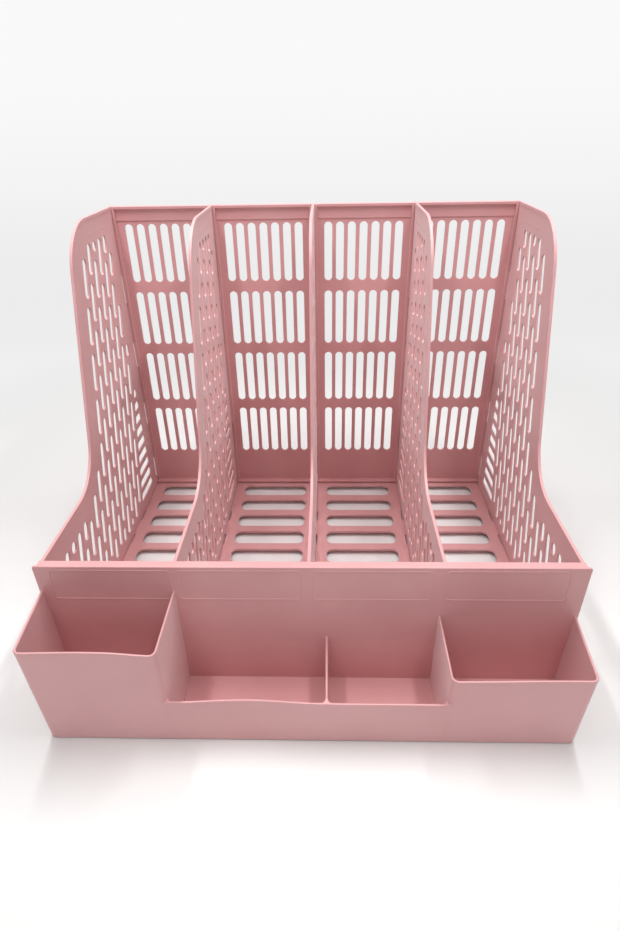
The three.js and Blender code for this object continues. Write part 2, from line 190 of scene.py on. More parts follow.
def tent_paper():
    """Matt white paper that the camera sees as overexposed from a little way off the object, with painted
    shade at its fold.
    """
    material = bpy.data.materials.new("matt white tent paper")
    material.use_nodes = True
    tree = material.node_tree
    tree.nodes.clear()
    paper = node(tree, "ShaderNodeBsdfDiffuse", {"Color": linear(PAPER)})
    place = node(tree, "ShaderNodeTexCoord").outputs["Object"]
    away = node(tree, "ShaderNodeVectorMath", {0: place}, operation="LENGTH")
    far = node(tree, "ShaderNodeMapRange", {
        "Value": away.outputs["Value"],
        "From Min": GLOW_NEAR,
        "From Max": GLOW_FAR,
    }, interpolation_type="SMOOTHSTEP")

    # Backwards and upwards are one path along the bent sheet. Painted shade: the fold is painted greyest,
    # fading to white along the path.
    path = node(tree, "ShaderNodeVectorMath", {0: place, 1: (0, 1, 1)}, operation="DOT_PRODUCT")
    off_fold = maths(tree, "SUBTRACT", path.outputs["Value"], FOLD_MIDDLE)
    away_from_painted_shade = node(tree, "ShaderNodeMapRange", {
        "Value": maths(tree, "ABSOLUTE", off_fold),
        "From Max": FOLD_REACH,
    }, interpolation_type="SMOOTHSTEP")
    tones = node(tree, "ShaderNodeValToRGB", {"Fac": away_from_painted_shade.outputs["Result"]})
    tones.color_ramp.elements[0].color = linear(FOLD_PAINTED_SHADE)
    tones.color_ramp.elements[1].color = linear(TENT_WHITE)
    glow = node(tree, "ShaderNodeEmission", {"Color": tones.outputs["Color"], "Strength": 1.0})

    mixed = node(tree, "ShaderNodeMixShader", {
        "Fac": maths(tree, "MULTIPLY", seen_directly(tree), far.outputs["Result"]),
        1: paper.outputs["BSDF"],
        2: glow.outputs["Emission"],
    })
    node(tree, "ShaderNodeOutputMaterial", {"Surface": mixed.outputs["Shader"]})
    return material


def make_floor():
    profile = [(FLOOR_FRONT, 0.0)]
    for i in range(SWEEP_STEPS + 1):
        turn = math.pi / 2 * i / SWEEP_STEPS
        profile.append((SWEEP_START + SWEEP_RADIUS * math.sin(turn), SWEEP_RADIUS * (1 - math.cos(turn))))
    profile.append((SWEEP_START + SWEEP_RADIUS, SWEEP_TOP))
    vertices = [(x, y, z - FLOOR_DROP) for x in (-FLOOR_HALF_WIDTH, FLOOR_HALF_WIDTH) for y, z in profile]
    count = len(profile)
    faces = [(i + 1, i, i + count, i + count + 1) for i in range(count - 1)]
    mesh = bpy.data.meshes.new("floor")
    mesh.from_pydata(vertices, [], faces)
    for polygon in mesh.polygons:
        polygon.use_smooth = True
    mesh.materials.append(tent_paper())
    floor = add_object("floor", mesh)


make_floor()
print("floor and backdrop: one swept sheet")

# %% Lamps and surroundings
ROW = {"size": (0.06, 0.7), "power": 5.4}
LAMPS = {
    "left lamp row": {"place": (-0.28, 0.05, 0.95), "aim": (-0.28, 0.05, 0), **ROW},
    "right lamp row": {"place": (0.28, 0.05, 0.95), "aim": (0.28, 0.05, 0), **ROW},
    "tent roof": {"place": (0, 0.1, 1.0), "aim": (0, 0.1, 0), "size": (0.5, 0.9), "power": 2.2},
    "tent roof, front": {"place": (0, -0.7, 1.2), "aim": (0, 0, 0.1), "size": (1.2, 0.4), "power": 2.8},
    "tent front": {"place": (0, -1.4, 0.5), "aim": (0, 0, 0.1), "size": (1.6, 0.8), "power": 4.6},
}
SURROUNDINGS = 0.11


def make_lamp(name, place, aim, size, power):
    data = bpy.data.lights.new(name, "AREA")
    data.shape = "RECTANGLE"
    data.size, data.size_y = size
    data.energy = power
    lamp = add_object(name, data)
    lamp.location = place
    lamp.rotation_euler = (Vector(aim) - Vector(place)).to_track_quat("-Z", "Y").to_euler()


for lamp_name, lamp in LAMPS.items():
    make_lamp(lamp_name, **lamp)


def make_surroundings():
    """The tent's cloth: dim as a light, but white to the eye."""
    world = bpy.data.worlds.new("tent cloth")
    bpy.context.scene.world = world
    world.use_nodes = True
    tree = world.node_tree
    tree.nodes.clear()
    strength = node(tree, "ShaderNodeMapRange", {
        "Value": seen_directly(tree),
        "To Min": SURROUNDINGS,
        "To Max": 1.0,
    })
    cloth = node(tree, "ShaderNodeBackground", {
        "Color": linear(TENT_WHITE),
        "Strength": strength.outputs["Result"],
    })
    node(tree, "ShaderNodeOutputWorld", {"Surface": cloth.outputs["Background"]})


make_surroundings()
bpy.context.scene.view_settings.view_transform = "Standard"
print("lamps:", ", ".join(LAMPS))

# %% [markdown]
# ## The finish: satin moulded polypropylene
# Every piece is the same dusty pink polypropylene, injection moulded with its colour right through.
# A fine spark-eroded texture in the mould makes the skin satin: highlights are wide and soft, and a
# wall seen almost edge on looks paler, like cloth, because its many tiny bumps catch the light. A
# little sheen gives that. Slow cooling leaves faint patches where the colour and the gloss differ.
# The patterns read Object coordinates, which here are the frame's own metres, so they neither stretch
# nor repeat.

# %% Pink plastic
PINK = "#D39C9D"
PINK_PATCH = "#CE9697"
PATCH_SIZE_MM = 55
PATCH_LIMITS = (0.35, 0.65)  # of the noise: below the first all patch, above the second none
ROUGHNESS = (0.40, 0.46)  # least and most, following the patches
PLASTIC_IOR = 1.5
SHEEN = 0.35
SHEEN_ROUGHNESS = 0.5
GRAIN_SIZE_MM = 0.7  # the real grain is near 0.1 mm, too fine for the render, so it is drawn coarser
GRAIN_DEPTH_MM = 0.006


def make_plastic():
    """Satin moulded polypropylene: soft wide highlights, a pale bloom at a slant, deep warm shade."""
    material = bpy.data.materials.new("satin moulded polypropylene, dusty pink")
    material.use_nodes = True
    tree = material.node_tree
    tree.nodes.clear()
    place = node(tree, "ShaderNodeTexCoord").outputs["Object"]
    patches = node(tree, "ShaderNodeTexNoise", {
        "Vector": place,
        "Scale": 1 / (PATCH_SIZE_MM * MM),
        "Detail": 2.0,
    })
    ramp = node(tree, "ShaderNodeValToRGB", {"Fac": patches.outputs["Fac"]})
    ramp.color_ramp.elements[0].position = PATCH_LIMITS[0]
    ramp.color_ramp.elements[0].color = linear(PINK_PATCH)
    ramp.color_ramp.elements[1].position = PATCH_LIMITS[1]
    ramp.color_ramp.elements[1].color = linear(PINK)
    gloss = node(tree, "ShaderNodeMapRange", {
        "Value": patches.outputs["Fac"],
        "To Min": ROUGHNESS[0],
        "To Max": ROUGHNESS[1],
    })
    grain = node(tree, "ShaderNodeTexNoise", {
        "Vector": place,
        "Scale": 1 / (GRAIN_SIZE_MM * MM),
        "Detail": 1.0,
    })
    bump = node(tree, "ShaderNodeBump", {
        "Height": grain.outputs["Fac"],
        "Strength": 1.0,
        "Distance": GRAIN_DEPTH_MM * MM,
    })
    shade = node(tree, "ShaderNodeBsdfPrincipled", {
        "Base Color": ramp.outputs["Color"],
        "Roughness": gloss.outputs["Result"],
        "IOR": PLASTIC_IOR,
        "Sheen Weight": SHEEN,
        "Sheen Roughness": SHEEN_ROUGHNESS,
        "Normal": bump.outputs["Normal"],
    })
    node(tree, "ShaderNodeOutputMaterial", {"Surface": shade.outputs["BSDF"]})
    return material


plastic = make_plastic()
print("material:", plastic.name)

# %% [markdown]
# ## Outlines and solids
# A moulded panel is an outline with round corners, made thick. These helpers are the drawing board:
# outlines are lists of (u, v) in the panel's own plane, and a place matrix then stands the panel up.
# Wall drawings have u to the back and v up, upright panels u to the right and v up.

# %% Outlines
ARC_STEPS = 10
STANDING_ALONG = Matrix(((0, 0, 1, 0), (1, 0, 0, 0), (0, 1, 0, 0), (0, 0, 0, 1)))  # a wall's plane
STANDING_ACROSS = Matrix(((1, 0, 0, 0), (0, 0, -1, 0), (0, 1, 0, 0), (0, 0, 0, 1)))  # a back panel's
LYING = Matrix.Identity(4)


def rounded(corners, steps=ARC_STEPS):
    """The points of an outline from (u, v, radius) corners, each turned into an arc of its radius."""
    points = []
    for i, (u, v, radius) in enumerate(corners):
        here = Vector((u, v))
        if radius <= 0:
            points.append(here)
            continue
        before = Vector(corners[i - 1][:2]) - here
        after = Vector(corners[(i + 1) % len(corners)][:2]) - here
        half = before.angle(after) / 2
        centre = here + (before.normalized() + after.normalized()).normalized() * radius / math.sin(half)
        start = here + before.normalized() * radius / math.tan(half) - centre
        sweep = start.angle_signed(here + after.normalized() * radius / math.tan(half) - centre)
        for k in range(steps + 1):
            turn = Matrix.Rotation(-sweep * k / steps, 2)
            points.append(centre + turn @ start)
    return points


def rectangle(u0, v0, u1, v1, radius=0):
    return rounded([(u0, v0, radius), (u1, v0, radius), (u1, v1, radius), (u0, v1, radius)])


print("a rounded square has", len(rectangle(0, 0, 10, 10, 2)), "points")

# %% Closed solids


def new_object(name, vertices, faces):
    mesh = bpy.data.meshes.new(name)
    mesh.from_pydata([tuple(v) for v in vertices], [], faces)
    return add_object(name, mesh)


def loft(name, rings):
    """A closed solid through rings of as many points, each counterclockwise seen from the last."""
    count = len(rings[0])
    faces = [tuple(reversed(range(count)))]
    for r in range(len(rings) - 1):
        base = r * count
        for i in range(count):
            j = (i + 1) % count
            faces.append((base + i, base + j, base + count + j, base + count + i))
    faces.append(tuple(range((len(rings) - 1) * count, len(rings) * count)))
    return new_object(name, [point for ring in rings for point in ring], faces)


def prism(name, outline, low, high, place=LYING):
    """An outline made thick between two heights above its plane, then stood in its place."""
    rings = [[place @ Vector((u, v, w)) for u, v in outline] for w in (low, high)]
    return loft(name, rings)


def block(name, low, high):
    return prism(name, rectangle(low[0], low[1], high[0], high[1]), low[2], high[2])


def made_plain(thing):
    """Turns an object's modifiers into its mesh."""
    bpy.context.view_layer.update()
    evaluated = thing.evaluated_get(bpy.context.evaluated_depsgraph_get())
    mesh = bpy.data.meshes.new_from_object(evaluated)
    thing.modifiers.clear()
    thing.data = mesh
    return thing


def combined(first, others, operation="UNION"):
    """One closed solid: the first with the others joined to it, or cut out of it."""
    for other in others:
        modifier = first.modifiers.new(other.name, "BOOLEAN")
        modifier.operation = operation
        modifier.solver = "MANIFOLD"
        modifier.object = other
    made_plain(first)
    for other in others:
        bpy.data.objects.remove(other)
    return first


# %% [markdown]
# ## A slotted plate, in Geometry Nodes
# Every panel is a flat plate with rows of round-ended slots. The tree gets a mesh that is only a
# drawing: closed loops of edges for outlines, and one loose point at the middle of each slot. Each
# loose point carries its slot's sizes as attributes. The tree puts a circle on each point, pulls its
# two halves (or four quarters) apart into a slot, fills the outline round them and makes it thick.
# One circle serves slots, windows and wide openings alike, because only the attributes differ.

# %% The tree
DRAWN = {"reach": "FLOAT_VECTOR", "radius": "FLOAT", "lean": "FLOAT", "slant": "FLOAT"}  # on the points
WORKED_OUT = {"quarter": "FLOAT_VECTOR", "middle": "FLOAT_VECTOR"}  # by the tree itself
WELD_MM = 1e-4


def slotted_plate_tree():
    tree = bpy.data.node_groups.new("slotted plate", "GeometryNodeTree")
    tree.is_modifier = True
    sockets = [
        ("Drawing", "INPUT", "NodeSocketGeometry"),
        ("Thickness", "INPUT", "NodeSocketFloat"),
        ("Circle Points", "INPUT", "NodeSocketInt"),
        ("Material", "INPUT", "NodeSocketMaterial"),
        ("Plate", "OUTPUT", "NodeSocketGeometry"),
    ]
    for name, side, kind in sockets:
        tree.interface.new_socket(name, in_out=side, socket_type=kind)
    given = node(tree, "NodeGroupInput").outputs
    edges_here = node(tree, "GeometryNodeInputMeshVertexNeighbors").outputs["Vertex Count"]
    loose = node(tree, "FunctionNodeCompare", {2: edges_here, 3: 0}, data_type="INT", operation="EQUAL")
    parts = node(tree, "GeometryNodeSeparateGeometry", {
        "Geometry": given["Drawing"],
        "Selection": loose.outputs["Result"],
    }, domain="POINT")
    outline = node(tree, "GeometryNodeMeshToCurve", {"Mesh": parts.outputs["Inverted"]})

    # A circle whose first point is half a step round, so that no point lies between two quarters.
    half_step = maths(tree, "DIVIDE", math.pi, given["Circle Points"])
    turned = node(tree, "ShaderNodeCombineXYZ", {"Z": half_step})
    circle = node(tree, "GeometryNodeCurvePrimitiveCircle", {
        "Resolution": given["Circle Points"],
        "Radius": maths(tree, "DIVIDE", 1.0, maths(tree, "COSINE", half_step)),
    })
    circle = node(tree, "GeometryNodeTransform", {
        "Geometry": circle.outputs["Curve"],
        "Rotation": turned.outputs["Vector"],
    })
    position = node(tree, "GeometryNodeInputPosition").outputs["Position"]
    quarter = node(tree, "ShaderNodeVectorMath", {0: position}, operation="SIGN")
    circle = node(tree, "GeometryNodeStoreNamedAttribute", {
        "Geometry": circle.outputs["Geometry"],
        "Name": "quarter",
        "Value": quarter.outputs["Vector"],
    }, data_type="FLOAT_VECTOR", domain="POINT")
    middles = node(tree, "GeometryNodeStoreNamedAttribute", {
        "Geometry": parts.outputs["Selection"],
        "Name": "middle",
        "Value": position,
    }, data_type="FLOAT_VECTOR", domain="POINT")

    read = {}
    for name, kind in {**DRAWN, **WORKED_OUT}.items():
        named = node(tree, "GeometryNodeInputNamedAttribute", {"Name": name}, data_type=kind)
        read[name] = named.outputs["Attribute"]
    tilt = node(tree, "ShaderNodeCombineXYZ", {"Z": read["lean"]})
    slots = node(tree, "GeometryNodeInstanceOnPoints", {
        "Points": middles.outputs["Geometry"],
        "Instance": circle.outputs["Geometry"],
        "Rotation": tilt.outputs["Vector"],
        "Scale": read["radius"],
    })
    slots = node(tree, "GeometryNodeRealizeInstances", {"Geometry": slots.outputs["Instances"]})
    pull = node(tree, "ShaderNodeVectorMath", {0: read["quarter"], 1: read["reach"]}, operation="MULTIPLY")
    pull = node(tree, "ShaderNodeVectorRotate", {
        "Vector": pull.outputs["Vector"],
        "Angle": read["lean"],
    }, rotation_type="Z_AXIS")
    slots = node(tree, "GeometryNodeSetPosition", {
        "Geometry": slots.outputs["Geometry"],
        "Offset": pull.outputs["Vector"],
    })

    # Only the near end of a level slot slants: its points move across as they rise.
    above = node(tree, "ShaderNodeVectorMath", {0: position, 1: read["middle"]}, operation="SUBTRACT")
    rise = node(tree, "ShaderNodeSeparateXYZ", {0: above.outputs["Vector"]}).outputs["Y"]
    side = node(tree, "ShaderNodeSeparateXYZ", {0: read["quarter"]}).outputs["X"]
    near = maths(tree, "LESS_THAN", side, 0.0)
    across = maths(tree, "MULTIPLY", maths(tree, "MULTIPLY", rise, read["slant"]), near)
    shift = node(tree, "ShaderNodeCombineXYZ", {"X": across})
    slots = node(tree, "GeometryNodeSetPosition", {
        "Geometry": slots.outputs["Geometry"],
        "Offset": shift.outputs["Vector"],
    })

    curves = node(tree, "GeometryNodeJoinGeometry")
    tree.links.new(outline.outputs["Curve"], curves.inputs["Geometry"])
    tree.links.new(slots.outputs["Geometry"], curves.inputs["Geometry"])
    face = node(tree, "GeometryNodeFillCurve", {"Curve": curves.outputs["Geometry"]}, mode="TRIANGLES")
    top = node(tree, "GeometryNodeExtrudeMesh", {
        "Mesh": face.outputs["Mesh"],
        "Offset Scale": given["Thickness"],
        "Individual": False,
    }, mode="FACES")
    bottom = node(tree, "GeometryNodeFlipFaces", {"Mesh": face.outputs["Mesh"]})
    both = node(tree, "GeometryNodeJoinGeometry")
    tree.links.new(top.outputs["Mesh"], both.inputs["Geometry"])
    tree.links.new(bottom.outputs["Mesh"], both.inputs["Geometry"])
    closed = node(tree, "GeometryNodeMergeByDistance", {
        "Geometry": both.outputs["Geometry"],
        "Distance": WELD_MM,
    })
    plain = node(tree, "GeometryNodeRealizeInstances", {"Geometry": closed.outputs["Geometry"]})
    finished = node(tree, "GeometryNodeSetMaterial", {
        "Geometry": plain.outputs["Geometry"],
        "Material": given["Material"],
    })
    node(tree, "NodeGroupOutput", {"Plate": finished.outputs["Geometry"]})
    return tree


plate_tree = slotted_plate_tree()
print("slotted plate tree:", len(plate_tree.nodes), "nodes")

# %% A panel from its drawing
SLOT_END_POINTS = 16
INPUT_NAMES = {
    item.name: item.identifier
    for item in plate_tree.interface.items_tree
    if item.in_out == "INPUT"
}


def hole(u, v, half_u, half_v, radius, lean=0.0, slant=0.0):
    """A round-cornered opening about (u, v), half_u and half_v to its sides."""
    radius = min(radius, half_u, half_v)
    reach = (half_u - radius, half_v - radius, 0.0)
    return {"middle": (u, v, 0.0), "reach": reach, "radius": radius, "lean": lean, "slant": slant}


def slotted_plate(name, outlines, holes, low, high, place=LYING, circle_points=SLOT_END_POINTS):
    """A flat plate from closed outlines and holes, between two heights above its plane."""
    vertices = []
    edges = []
    for outline in outlines:
        start = len(vertices)
        count = len(outline)
        vertices += [(u, v, 0.0) for u, v in outline]
        edges += [(start + i, start + (i + 1) % count) for i in range(count)]
    first_hole = len(vertices)
    vertices += [each["middle"] for each in holes]
    mesh = bpy.data.meshes.new(name)
    mesh.from_pydata(vertices, edges, [])
    for key, kind in DRAWN.items():
        attribute = mesh.attributes.new(key, kind, "POINT")
        if kind == "FLOAT":
            values = [0.0] * first_hole + [each[key] for each in holes]
            attribute.data.foreach_set("value", values)
        else:
            values = [0.0] * 3 * first_hole + [x for each in holes for x in each[key]]
            attribute.data.foreach_set("vector", values)
    plate = add_object(name, mesh)
    modifier = plate.modifiers.new("slotted plate", "NODES")
    modifier.node_group = plate_tree
    modifier[INPUT_NAMES["Thickness"]] = high - low
    modifier[INPUT_NAMES["Circle Points"]] = circle_points
    modifier[INPUT_NAMES["Material"]] = plastic
    made_plain(plate)
    plate.data.transform(place @ Matrix.Translation((0, 0, low)))
    for key in {**DRAWN, **WORKED_OUT}:
        if key in plate.data.attributes:
            plate.data.attributes.remove(plate.data.attributes[key])
    return plate


# %% [markdown]
# ## Soft edges
# No moulded edge is knife sharp: the mould's own corners are a little round, and that thin round is
# what catches the light and draws the pale lines round every panel. A solid is first cleaned of the
# flat seams that joining leaves, then its edges are rounded. The weighted normals keep the big faces
# flat to the eye while the narrow rounds shade smoothly.

# %% Finishing a piece
FLAT_SEAM = math.radians(0.15)
SHARP_EDGE = math.radians(40)
CRISP_EDGE = math.radians(60)
GRAZING = math.radians(50)
EDGE_ROUND_MM = 0.35
EDGE_ROUND_STEPS = 2
DOUBLE_MM = 1e-3  # corners closer than this are one
BIG_FACE_WEIGHT = 100  # the most that the modifier takes


def grazes(seam):
    """Whether a seam leaves a sharp edge at so narrow an angle that rounding the edge would tear it."""
    for corner in seam.verts:
        along = seam.other_vert(corner).co - corner.co
        for edge in corner.link_edges:
            if edge is not seam and edge.calc_face_angle(0) > SHARP_EDGE:
                if along.angle(edge.other_vert(corner).co - corner.co) < GRAZING:
                    return True
    return False


def cleaned(piece):
    """Melts the seams that lie flat inside a face, those that graze a sharp edge first."""
    draft = bmesh.new()
    draft.from_mesh(piece.data)
    bmesh.ops.remove_doubles(draft, verts=draft.verts, dist=DOUBLE_MM)
    seams = [edge for edge in draft.edges if edge.calc_face_angle(math.pi) < FLAT_SEAM]
    grazing = [seam for seam in seams if grazes(seam)]
    bmesh.ops.dissolve_limit(draft, angle_limit=FLAT_SEAM, verts=[], edges=grazing)
    bmesh.ops.dissolve_limit(draft, angle_limit=FLAT_SEAM, verts=draft.verts, edges=draft.edges)
    draft.to_mesh(piece.data)
    draft.free()
    return piece


def smooth_shaded(piece):
    """Smooth shading that leaves big faces flat and the few unrounded edges crisp."""
    for polygon in piece.data.polygons:
        polygon.use_smooth = True
    piece.data.set_sharp_from_angle(angle=CRISP_EDGE)
    weighted = piece.modifiers.new("flat faces", "WEIGHTED_NORMAL")
    weighted.weight = BIG_FACE_WEIGHT
    weighted.keep_sharp = True
    made_plain(piece)
    return piece


def bevelled(piece, width, segments):
    """Rounds each edge by its weight's share of a width."""
    bevel = piece.modifiers.new("edge rounds", "BEVEL")
    bevel.width = width
    bevel.segments = segments
    bevel.limit_method = "WEIGHT"
    bevel.use_clamp_overlap = False
    return made_plain(piece)


def softened(piece, width=EDGE_ROUND_MM):
    """Rounds every sharp edge that sticks out. Inner corners stay crisp."""
    draft = bmesh.new()
    draft.from_mesh(piece.data)
    weights = draft.edges.layers.float.new("bevel_weight_edge")
    for edge in draft.edges:
        if edge.is_convex and edge.calc_face_angle() > SHARP_EDGE:
            edge[weights] = 1
    draft.to_mesh(piece.data)
    draft.free()
    return smooth_shaded(bevelled(piece, width, EDGE_ROUND_STEPS))


def set_down(piece, name, body, nodes, shift=(0, 0, 0)):
    """Adds a finished copy in metres, at its place in the frame, that stands for the named solids."""
    mesh = piece.data.copy()
    mesh.transform(Matrix.Scale(MM, 4) @ Matrix.Translation(shift))
    mesh.materials.clear()
    mesh.materials.append(plastic)
    mesh.name = name
    done = add_object(name, mesh)
    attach(done, body)
    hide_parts(*nodes)


def set_down_row(piece, names, middles):
    """Adds a copy of a moulding about each middle, for the piece of the rack with that name."""
    for name, middle in zip(names, middles):
        set_down(piece, name + "_moulding", "rack", [name], (middle, 0, 0))
    print(piece.name + ":", len(piece.data.polygons), "faces, set down", len(names), "times")
    bpy.data.objects.remove(piece)


# %% [markdown]
# ## Walls
# A side panel or divider is one moulding: a thin web with leaning columns of slots, a thicker bead
# along its free edge, and windows that the other panels' tabs snap into. Its outline is drawn once, and
# every column of slots is cut off by the same outline drawn in by a margin, so the field follows the
# curve of the wall.

# %% The wall's outline
LEAN = math.radians(16.7)
LEAN_SLOPE = math.tan(LEAN)
LOW_HEIGHT = 111.4
LOW_LENGTH = 112.3
TOP_RADIUS = 48
THROAT_RADIUS = 45
FOOT_RADIUS = 3
WALL = 1.7
BEAD = 2.4
BEAD_WIDTH = 3
PROFILE_STEPS = 20


def free_corners(margin, front, back):
    """The corners of a wall's free edge, from the back down to the front, drawn in by a margin."""
    low = LOW_HEIGHT - margin
    high = rack_height - margin
    edge = rack_front + LOW_LENGTH - LOW_HEIGHT * LEAN_SLOPE + margin / math.cos(LEAN)
    return [
        (back, high, 0),
        (edge + high * LEAN_SLOPE, high, TOP_RADIUS - margin),
        (edge + low * LEAN_SLOPE, low, THROAT_RADIUS + margin),
        (front, low, 0),
    ]


def wall_profile(margin, front, back, foot, foot_radius=0):
    feet = [(front, foot, foot_radius), (back, foot, foot_radius)]
    return rounded(feet + free_corners(margin, front, back), PROFILE_STEPS)


print("wall outline:", len(wall_profile(0, rack_front, rack_back, 0, FOOT_RADIUS)), "points")

# %% The wall's slots
SLOT_MARGIN = 19
SLOT_BACK_MARGIN = 27.5
SLOT_FOOT = 15
SLOT_WIDTH = 8.2
SLOT_LENGTH = 30.5
SLOT_PITCH = 37.3
SLOT_SHORTEST = 7
COLUMN_PITCH = 13.35
COLUMN_START = 106.3
COLUMN_STEP = 0.42
COLUMN_PHASE = 0.12
LAST_COLUMN = 7


def stretches_inside(outline, start):
    """The heights between which a leaning line, at u = start at the foot, is inside an outline."""
    heights = []
    for i, a in enumerate(outline):
        b = outline[(i + 1) % len(outline)]
        side_a = a.x - LEAN_SLOPE * a.y - start
        side_b = b.x - LEAN_SLOPE * b.y - start
        if (side_a < 0) != (side_b < 0):
            heights.append(a.y + (b.y - a.y) * side_a / (side_a - side_b))
    heights.sort()
    return list(zip(heights[::2], heights[1::2]))


def wall_slots():
    field = wall_profile(SLOT_MARGIN, rack_front + SLOT_MARGIN, rack_back - SLOT_BACK_MARGIN, SLOT_FOOT)
    reach = math.sin(LEAN) * SLOT_WIDTH / 2
    holes = []
    first_column = -math.ceil((COLUMN_START + rack_height * LEAN_SLOPE) / COLUMN_PITCH)
    for column in range(first_column, LAST_COLUMN + 1):
        start = rack_front + COLUMN_START + column * COLUMN_PITCH
        phase = COLUMN_PHASE + column * COLUMN_STEP
        for low, high in stretches_inside(field, start):
            first_row = math.floor(low / SLOT_PITCH - phase) - 1
            last_row = math.ceil(high / SLOT_PITCH - phase) + 1
            for row in range(first_row, last_row + 1):
                middle = (row + phase) * SLOT_PITCH
                foot = max(low + reach, middle - SLOT_LENGTH / 2)
                head = min(high - reach, middle + SLOT_LENGTH / 2)
                if head - foot < SLOT_SHORTEST:
                    continue
                v = (foot + head) / 2
                half = (head - foot) / 2 / math.cos(LEAN)
                holes.append(hole(start + v * LEAN_SLOPE, v, SLOT_WIDTH / 2, half, SLOT_WIDTH / 2, -LEAN))
    return holes


print("leaning slots in a wall:", len(wall_slots()))

# %% The wall's level slots and windows
VENT_HEIGHT = 8.6
VENT_PITCH = 13.6
VENT_FOOT = 18.7
VENT_BACK_MARGIN = 25.4
VENT_SHORTEST = 7
VENT_RADIUS = 2.6
TAB_WINDOW_RADIUS = 0.5
PLATE = 2
BACK_INSET = 2.1
BACK_RIM = 3.4
BACK_TABS = 4
BACK_TAB_HEIGHT = 24
BACK_TAB_PITCH = 68.4
BACK_TAB_FOOT = 29
BACK_TAB_DEPTH = 2.6
BACK_WINDOW_LEAD = 2.2
BASE_PLATE = 2.4
BASE_TOP = 6.6
BASE_TAB_LENGTH = 25
BASE_TAB_MIDDLES = (72.7, 187.2)
FRONT_RIM = 4
FRONT_TAB_HEIGHT = 18
FRONT_TAB_MIDDLES = (30, 80)
WINDOW_SLACK = 1
FIT = 0.3
rim_front = rack_back - BACK_INSET - PLATE - BACK_RIM
front_rim_back = rack_front + PLATE + FRONT_RIM
back_tab_middles = [BACK_TAB_FOOT + i * BACK_TAB_PITCH for i in range(BACK_TABS)]


def wall_vents():
    back = rack_back - VENT_BACK_MARGIN
    edge = rack_front + COLUMN_START + (LAST_COLUMN + 1) * COLUMN_PITCH - SLOT_WIDTH / 2
    holes = []
    foot = VENT_FOOT
    while back - (edge + (foot + VENT_HEIGHT) * LEAN_SLOPE) >= VENT_SHORTEST:
        v = foot + VENT_HEIGHT / 2
        left = edge + v * LEAN_SLOPE
        middle = (left + back) / 2
        half = (back - left) / 2
        holes.append(hole(middle, v, half, VENT_HEIGHT / 2, VENT_RADIUS, slant=LEAN_SLOPE))
        foot += VENT_PITCH
    return holes


def window(u0, v0, u1, v1):
    return hole((u0 + u1) / 2, (v0 + v1) / 2, (u1 - u0) / 2, (v1 - v0) / 2, TAB_WINDOW_RADIUS)


def wall_windows():
    windows = []
    for v in back_tab_middles:
        half = BACK_TAB_HEIGHT / 2 + WINDOW_SLACK
        far = rim_front + BACK_TAB_DEPTH + WINDOW_SLACK
        windows.append(window(rim_front - BACK_WINDOW_LEAD, v - half, far, v + half))
    for along in BASE_TAB_MIDDLES:
        half = BASE_TAB_LENGTH / 2 + WINDOW_SLACK
        u = rack_front + along
        windows.append(window(u - half, BASE_TOP - BASE_PLATE - WINDOW_SLACK, u + half, BASE_TOP + FIT))
    for v in FRONT_TAB_MIDDLES:
        half = FRONT_TAB_HEIGHT / 2 + WINDOW_SLACK
        near = front_rim_back - PLATE - WINDOW_SLACK
        windows.append(window(near, v - half, front_rim_back + WINDOW_SLACK, v + half))
    return windows


print("level slots:", len(wall_vents()), "windows:", len(wall_windows()))

# %% The wall's raised lines
LINE_HEIGHT = 0.35
LINE_HALF = 0.15  # of its flat top
LINE_SLOPE = math.radians(28)  # gentle enough that its edges stay unrounded
LINE_SINK = 0.2
TOP_LINE = (205, 262, 297)
BACK_LINE = 273.6
BACK_LINE_TOP = 300
LINE_END_GAP = 2  # the line stops this far from the windows


def ridge(u0, v0, u1, v1):
    """A raised line on both sides of a wall, from one end of its middle to the other."""
    top = WALL / 2 + LINE_HEIGHT
    root = WALL / 2 - LINE_SINK
    spread = LINE_HALF + (LINE_HEIGHT + LINE_SINK) / math.tan(LINE_SLOPE)
    rings = []
    for w, out in ((-top, LINE_HALF), (-root, spread), (root, spread), (top, LINE_HALF)):
        outline = rectangle(u0 - out, v0 - out, u1 + out, v1 + out)
        rings.append([STANDING_ALONG @ Vector((u, v, w)) for u, v in outline])
    return loft("line", rings)


def wall_lines():
    """A level line near the top, and an upright one near the back in stretches between the windows."""
    near, far, height = TOP_LINE
    lines = [ridge(rack_front + near, height, rack_front + far, height)]
    reach = BACK_TAB_HEIGHT / 2 + WINDOW_SLACK + LINE_END_GAP
    feet = [v + reach for v in back_tab_middles]
    heads = [v - reach for v in back_tab_middles[1:]] + [BACK_LINE_TOP]
    along = rack_front + BACK_LINE
    return lines + [ridge(along, foot, along, head) for foot, head in zip(feet, heads)]


# %% One wall, set down five times
WALL_ROUND = 0.28  # less than the step up to the bead


def make_wall():
    """A wall about x = 0."""
    outline = wall_profile(0, rack_front, rack_back, 0, FOOT_RADIUS)
    holes = wall_slots() + wall_vents() + wall_windows()
    wall = slotted_plate("wall", [outline], holes, -WALL / 2, WALL / 2, STANDING_ALONG)
    front = front_rim_back + FIT
    back = rim_front - FIT
    outer = rounded(free_corners(0, front, back), PROFILE_STEPS)
    inner = rounded(free_corners(BEAD_WIDTH, front, back), PROFILE_STEPS)
    bead = prism("bead", outer + inner[::-1], -BEAD / 2, BEAD / 2, STANDING_ALONG)
    return softened(cleaned(combined(wall, [bead] + wall_lines())), WALL_ROUND)


set_down_row(make_wall(), WALL_NAMES, wall_middles)

# %% [markdown]
# ## Back panels
# Each section is closed at the back by a plate with four rows of seven upright slots. Its rim points
# forward, like the edge of a tray, and a band along the top is raised a little, which draws the fine
# dark line under it. Short tabs on both sides reach into the walls' windows.

